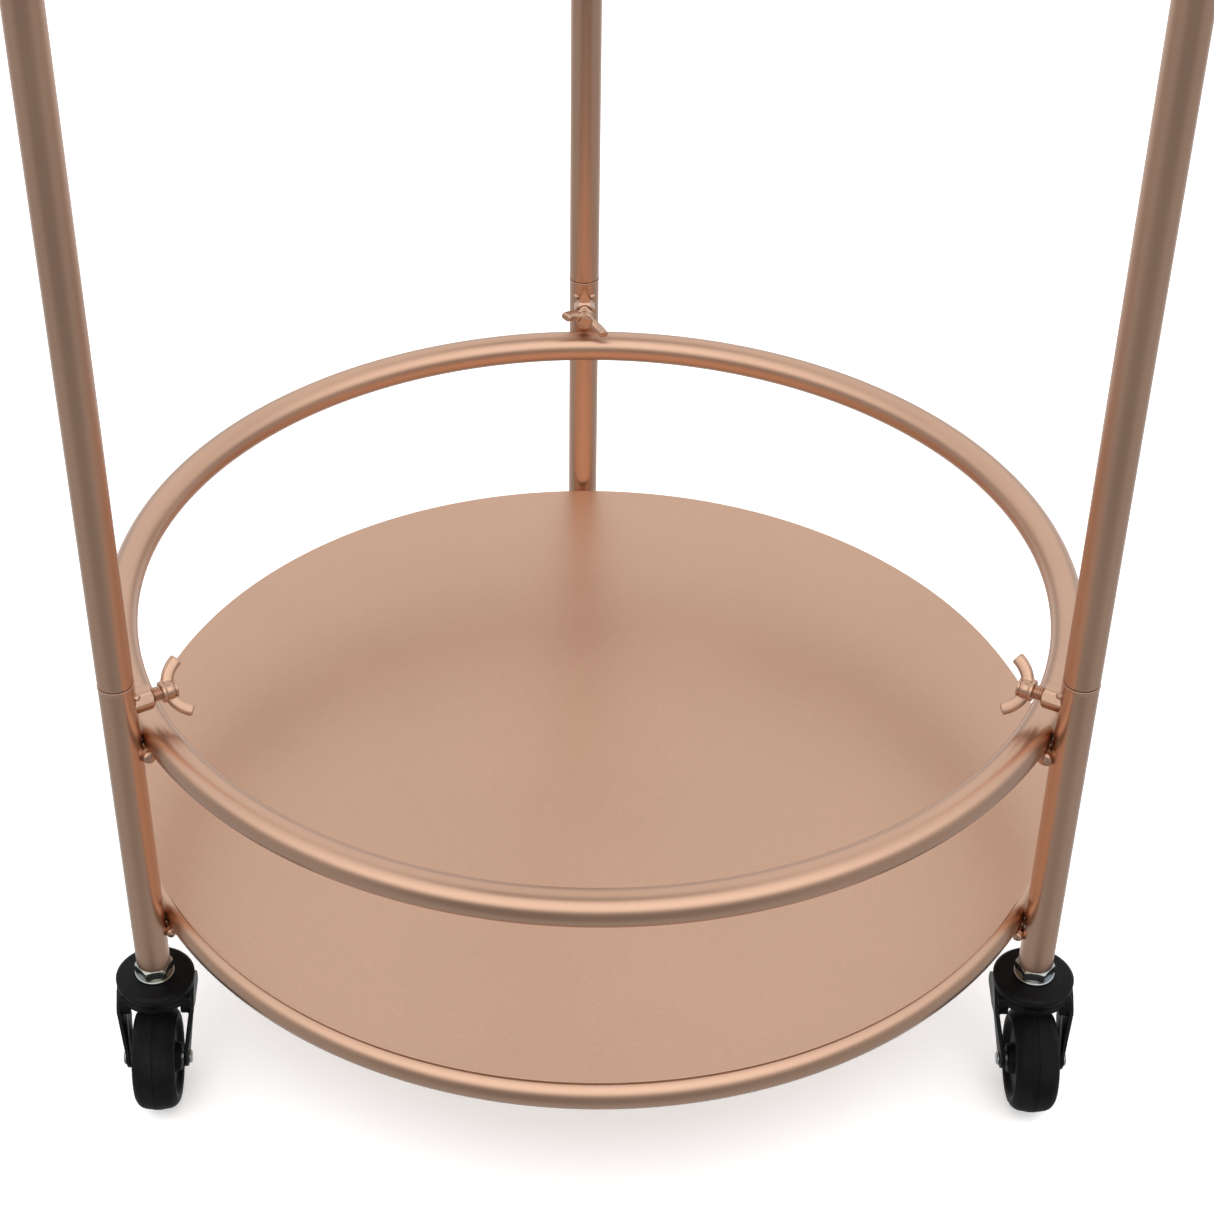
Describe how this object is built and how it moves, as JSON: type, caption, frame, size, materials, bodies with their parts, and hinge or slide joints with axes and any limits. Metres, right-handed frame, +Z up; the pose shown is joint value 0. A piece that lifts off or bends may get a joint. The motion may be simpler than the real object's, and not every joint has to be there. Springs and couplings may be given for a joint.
{
  "type": "round garment rack",
  "caption": "Round clothes rail on swivel casters: a hanging ring on upright tubes over a guard ring and a flat round shelf, clamped by wing screws.",
  "frame": {"origin": "on the floor, under the common axis of the rings and shelf", "axes": "+Z up along the rings' axis, +Y towards the back post, so the other two posts stand at 210 and -30 degrees from +X"},
  "size_m": [0.5489, 0.5807, 1.5],
  "materials": {
    "rose_gold": "satin rose-gold metallic",
    "weld": "satin rose-gold metallic over weld",
    "zinc": "bright zinc plate",
    "dark_steel": "oiled steel",
    "black_plastic": "semi-gloss black",
    "black_rubber": "matt black rubber"
  },
  "bodies": {
    "base": {"base_ring": "rose_gold", "mid_ring": "rose_gold", "shelf": "rose_gold", "base_ring_welds": "weld", "mid_ring_welds": "weld", "shelf_tacks": "weld", "lower_weld_nuts": "rose_gold", "lower_nut_welds": "weld", "caster_plugs": "dark_steel", "caster_stems": "zinc", "stem_nuts": "zinc", "stem_washers": "zinc", "left_lower_stub": "rose_gold", "right_lower_stub": "rose_gold", "back_lower_stub": "rose_gold", "left_caster_cap": "black_plastic", "right_caster_cap": "black_plastic", "back_caster_cap": "black_plastic"},
    "upper_posts": {"left_long_post": "rose_gold", "right_long_post": "rose_gold", "back_long_post": "rose_gold", "lower_spigots": "rose_gold", "upper_spigots": "rose_gold"},
    "top_frame": {"hanging_ring": "rose_gold", "hanging_ring_welds": "weld", "upper_weld_nuts": "rose_gold", "upper_nut_welds": "weld", "post_caps": "black_plastic", "left_upper_stub": "rose_gold", "right_upper_stub": "rose_gold", "back_upper_stub": "rose_gold"},
    "left_lower_stud": {"left_lower_stud": "rose_gold"},
    "left_lower_wing": {"left_lower_wing_head": "rose_gold"},
    "right_lower_stud": {"right_lower_stud": "rose_gold"},
    "right_lower_wing": {"right_lower_wing_head": "rose_gold"},
    "back_lower_stud": {"back_lower_stud": "rose_gold"},
    "back_lower_wing": {"back_lower_wing_head": "rose_gold"},
    "left_upper_stud": {"left_upper_stud": "rose_gold"},
    "left_upper_wing": {"left_upper_wing_head": "rose_gold"},
    "right_upper_stud": {"right_upper_stud": "rose_gold"},
    "right_upper_wing": {"right_upper_wing_head": "rose_gold"},
    "back_upper_stud": {"back_upper_stud": "rose_gold"},
    "back_upper_wing": {"back_upper_wing_head": "rose_gold"},
    "left_swivel": {"left_fork": "black_plastic", "left_race_balls": "dark_steel", "left_axle": "zinc", "left_axle_bush": "dark_steel"},
    "left_wheel": {"left_wheel": "black_rubber"},
    "right_swivel": {"right_fork": "black_plastic", "right_race_balls": "dark_steel", "right_axle": "zinc", "right_axle_bush": "dark_steel"},
    "right_wheel": {"right_wheel": "black_rubber"},
    "back_swivel": {"back_fork": "black_plastic", "back_race_balls": "dark_steel", "back_axle": "zinc", "back_axle_bush": "dark_steel"},
    "back_wheel": {"back_wheel": "black_rubber"}
  },
  "joints": [
    {"name": "upper_posts_lift", "type": "slide", "parent": "base", "child": "upper_posts", "axis": [0, 0, 1], "range_m": [0, 0.06]},
    {"name": "top_frame_lift", "type": "slide", "parent": "upper_posts", "child": "top_frame", "axis": [0, 0, 1], "range_m": [0, 0.06]},
    {"name": "left_lower_screw_travel", "type": "slide", "parent": "base", "child": "left_lower_stud", "axis": [0.866, 0.5, 0], "range_m": [0, 0.005]},
    {"name": "left_lower_wing_turn", "type": "hinge", "parent": "left_lower_stud", "child": "left_lower_wing", "pos_m": [-0.22218, -0.12828, 0.2645], "axis": [0.866, 0.5, 0], "range_deg": [0, 1440]},
    {"name": "right_lower_screw_travel", "type": "slide", "parent": "base", "child": "right_lower_stud", "axis": [-0.866, 0.5, 0], "range_m": [0, 0.005]},
    {"name": "right_lower_wing_turn", "type": "hinge", "parent": "right_lower_stud", "child": "right_lower_wing", "pos_m": [0.22218, -0.12828, 0.2645], "axis": [-0.866, 0.5, 0], "range_deg": [0, 1440]},
    {"name": "back_lower_screw_travel", "type": "slide", "parent": "base", "child": "back_lower_stud", "axis": [0, -1, 0], "range_m": [0, 0.005]},
    {"name": "back_lower_wing_turn", "type": "hinge", "parent": "back_lower_stud", "child": "back_lower_wing", "pos_m": [0, 0.25655, 0.2645], "axis": [0, -1, 0], "range_deg": [0, 1440]},
    {"name": "left_upper_screw_travel", "type": "slide", "parent": "top_frame", "child": "left_upper_stud", "axis": [0.866, 0.5, 0], "range_m": [0, 0.005]},
    {"name": "left_upper_wing_turn", "type": "hinge", "parent": "left_upper_stud", "child": "left_upper_wing", "pos_m": [-0.22218, -0.12828, 1.4536], "axis": [0.866, 0.5, 0], "range_deg": [0, 1440]},
    {"name": "right_upper_screw_travel", "type": "slide", "parent": "top_frame", "child": "right_upper_stud", "axis": [-0.866, 0.5, 0], "range_m": [0, 0.005]},
    {"name": "right_upper_wing_turn", "type": "hinge", "parent": "right_upper_stud", "child": "right_upper_wing", "pos_m": [0.22218, -0.12828, 1.4536], "axis": [-0.866, 0.5, 0], "range_deg": [0, 1440]},
    {"name": "back_upper_screw_travel", "type": "slide", "parent": "top_frame", "child": "back_upper_stud", "axis": [0, -1, 0], "range_m": [0, 0.005]},
    {"name": "back_upper_wing_turn", "type": "hinge", "parent": "back_upper_stud", "child": "back_upper_wing", "pos_m": [0, 0.25655, 1.4536], "axis": [0, -1, 0], "range_deg": [0, 1440]},
    {"name": "left_caster_swivel", "type": "hinge", "parent": "base", "child": "left_swivel", "pos_m": [-0.24599, -0.14203, 0.07], "axis": [0, 0, 1], "continuous": true},
    {"name": "left_wheel_spin", "type": "hinge", "parent": "left_swivel", "child": "left_wheel", "pos_m": [-0.24517, -0.16551, 0.0297], "axis": [0.9994, 0.0349, 0], "continuous": true},
    {"name": "right_caster_swivel", "type": "hinge", "parent": "base", "child": "right_swivel", "pos_m": [0.24599, -0.14203, 0.07], "axis": [0, 0, 1], "continuous": true},
    {"name": "right_wheel_spin", "type": "hinge", "parent": "right_swivel", "child": "right_wheel", "pos_m": [0.24534, -0.16552, 0.0297], "axis": [0.9996, -0.0279, 0], "continuous": true},
    {"name": "back_caster_swivel", "type": "hinge", "parent": "base", "child": "back_swivel", "pos_m": [0, 0.28405, 0.07], "axis": [0, 0, 1], "continuous": true},
    {"name": "back_wheel_spin", "type": "hinge", "parent": "back_swivel", "child": "back_wheel", "pos_m": [0, 0.26055, 0.0297], "axis": [1, 0, 0], "continuous": true}
  ],
  "couplings": [
    {"joint": "left_lower_wing_turn", "follows": "left_lower_screw_travel", "rad_per_m": 5026.5},
    {"joint": "right_lower_wing_turn", "follows": "right_lower_screw_travel", "rad_per_m": 5026.5},
    {"joint": "back_lower_wing_turn", "follows": "back_lower_screw_travel", "rad_per_m": 5026.5},
    {"joint": "left_upper_wing_turn", "follows": "left_upper_screw_travel", "rad_per_m": 5026.5},
    {"joint": "right_upper_wing_turn", "follows": "right_upper_screw_travel", "rad_per_m": 5026.5},
    {"joint": "back_upper_wing_turn", "follows": "back_upper_screw_travel", "rad_per_m": 5026.5}
  ]
}
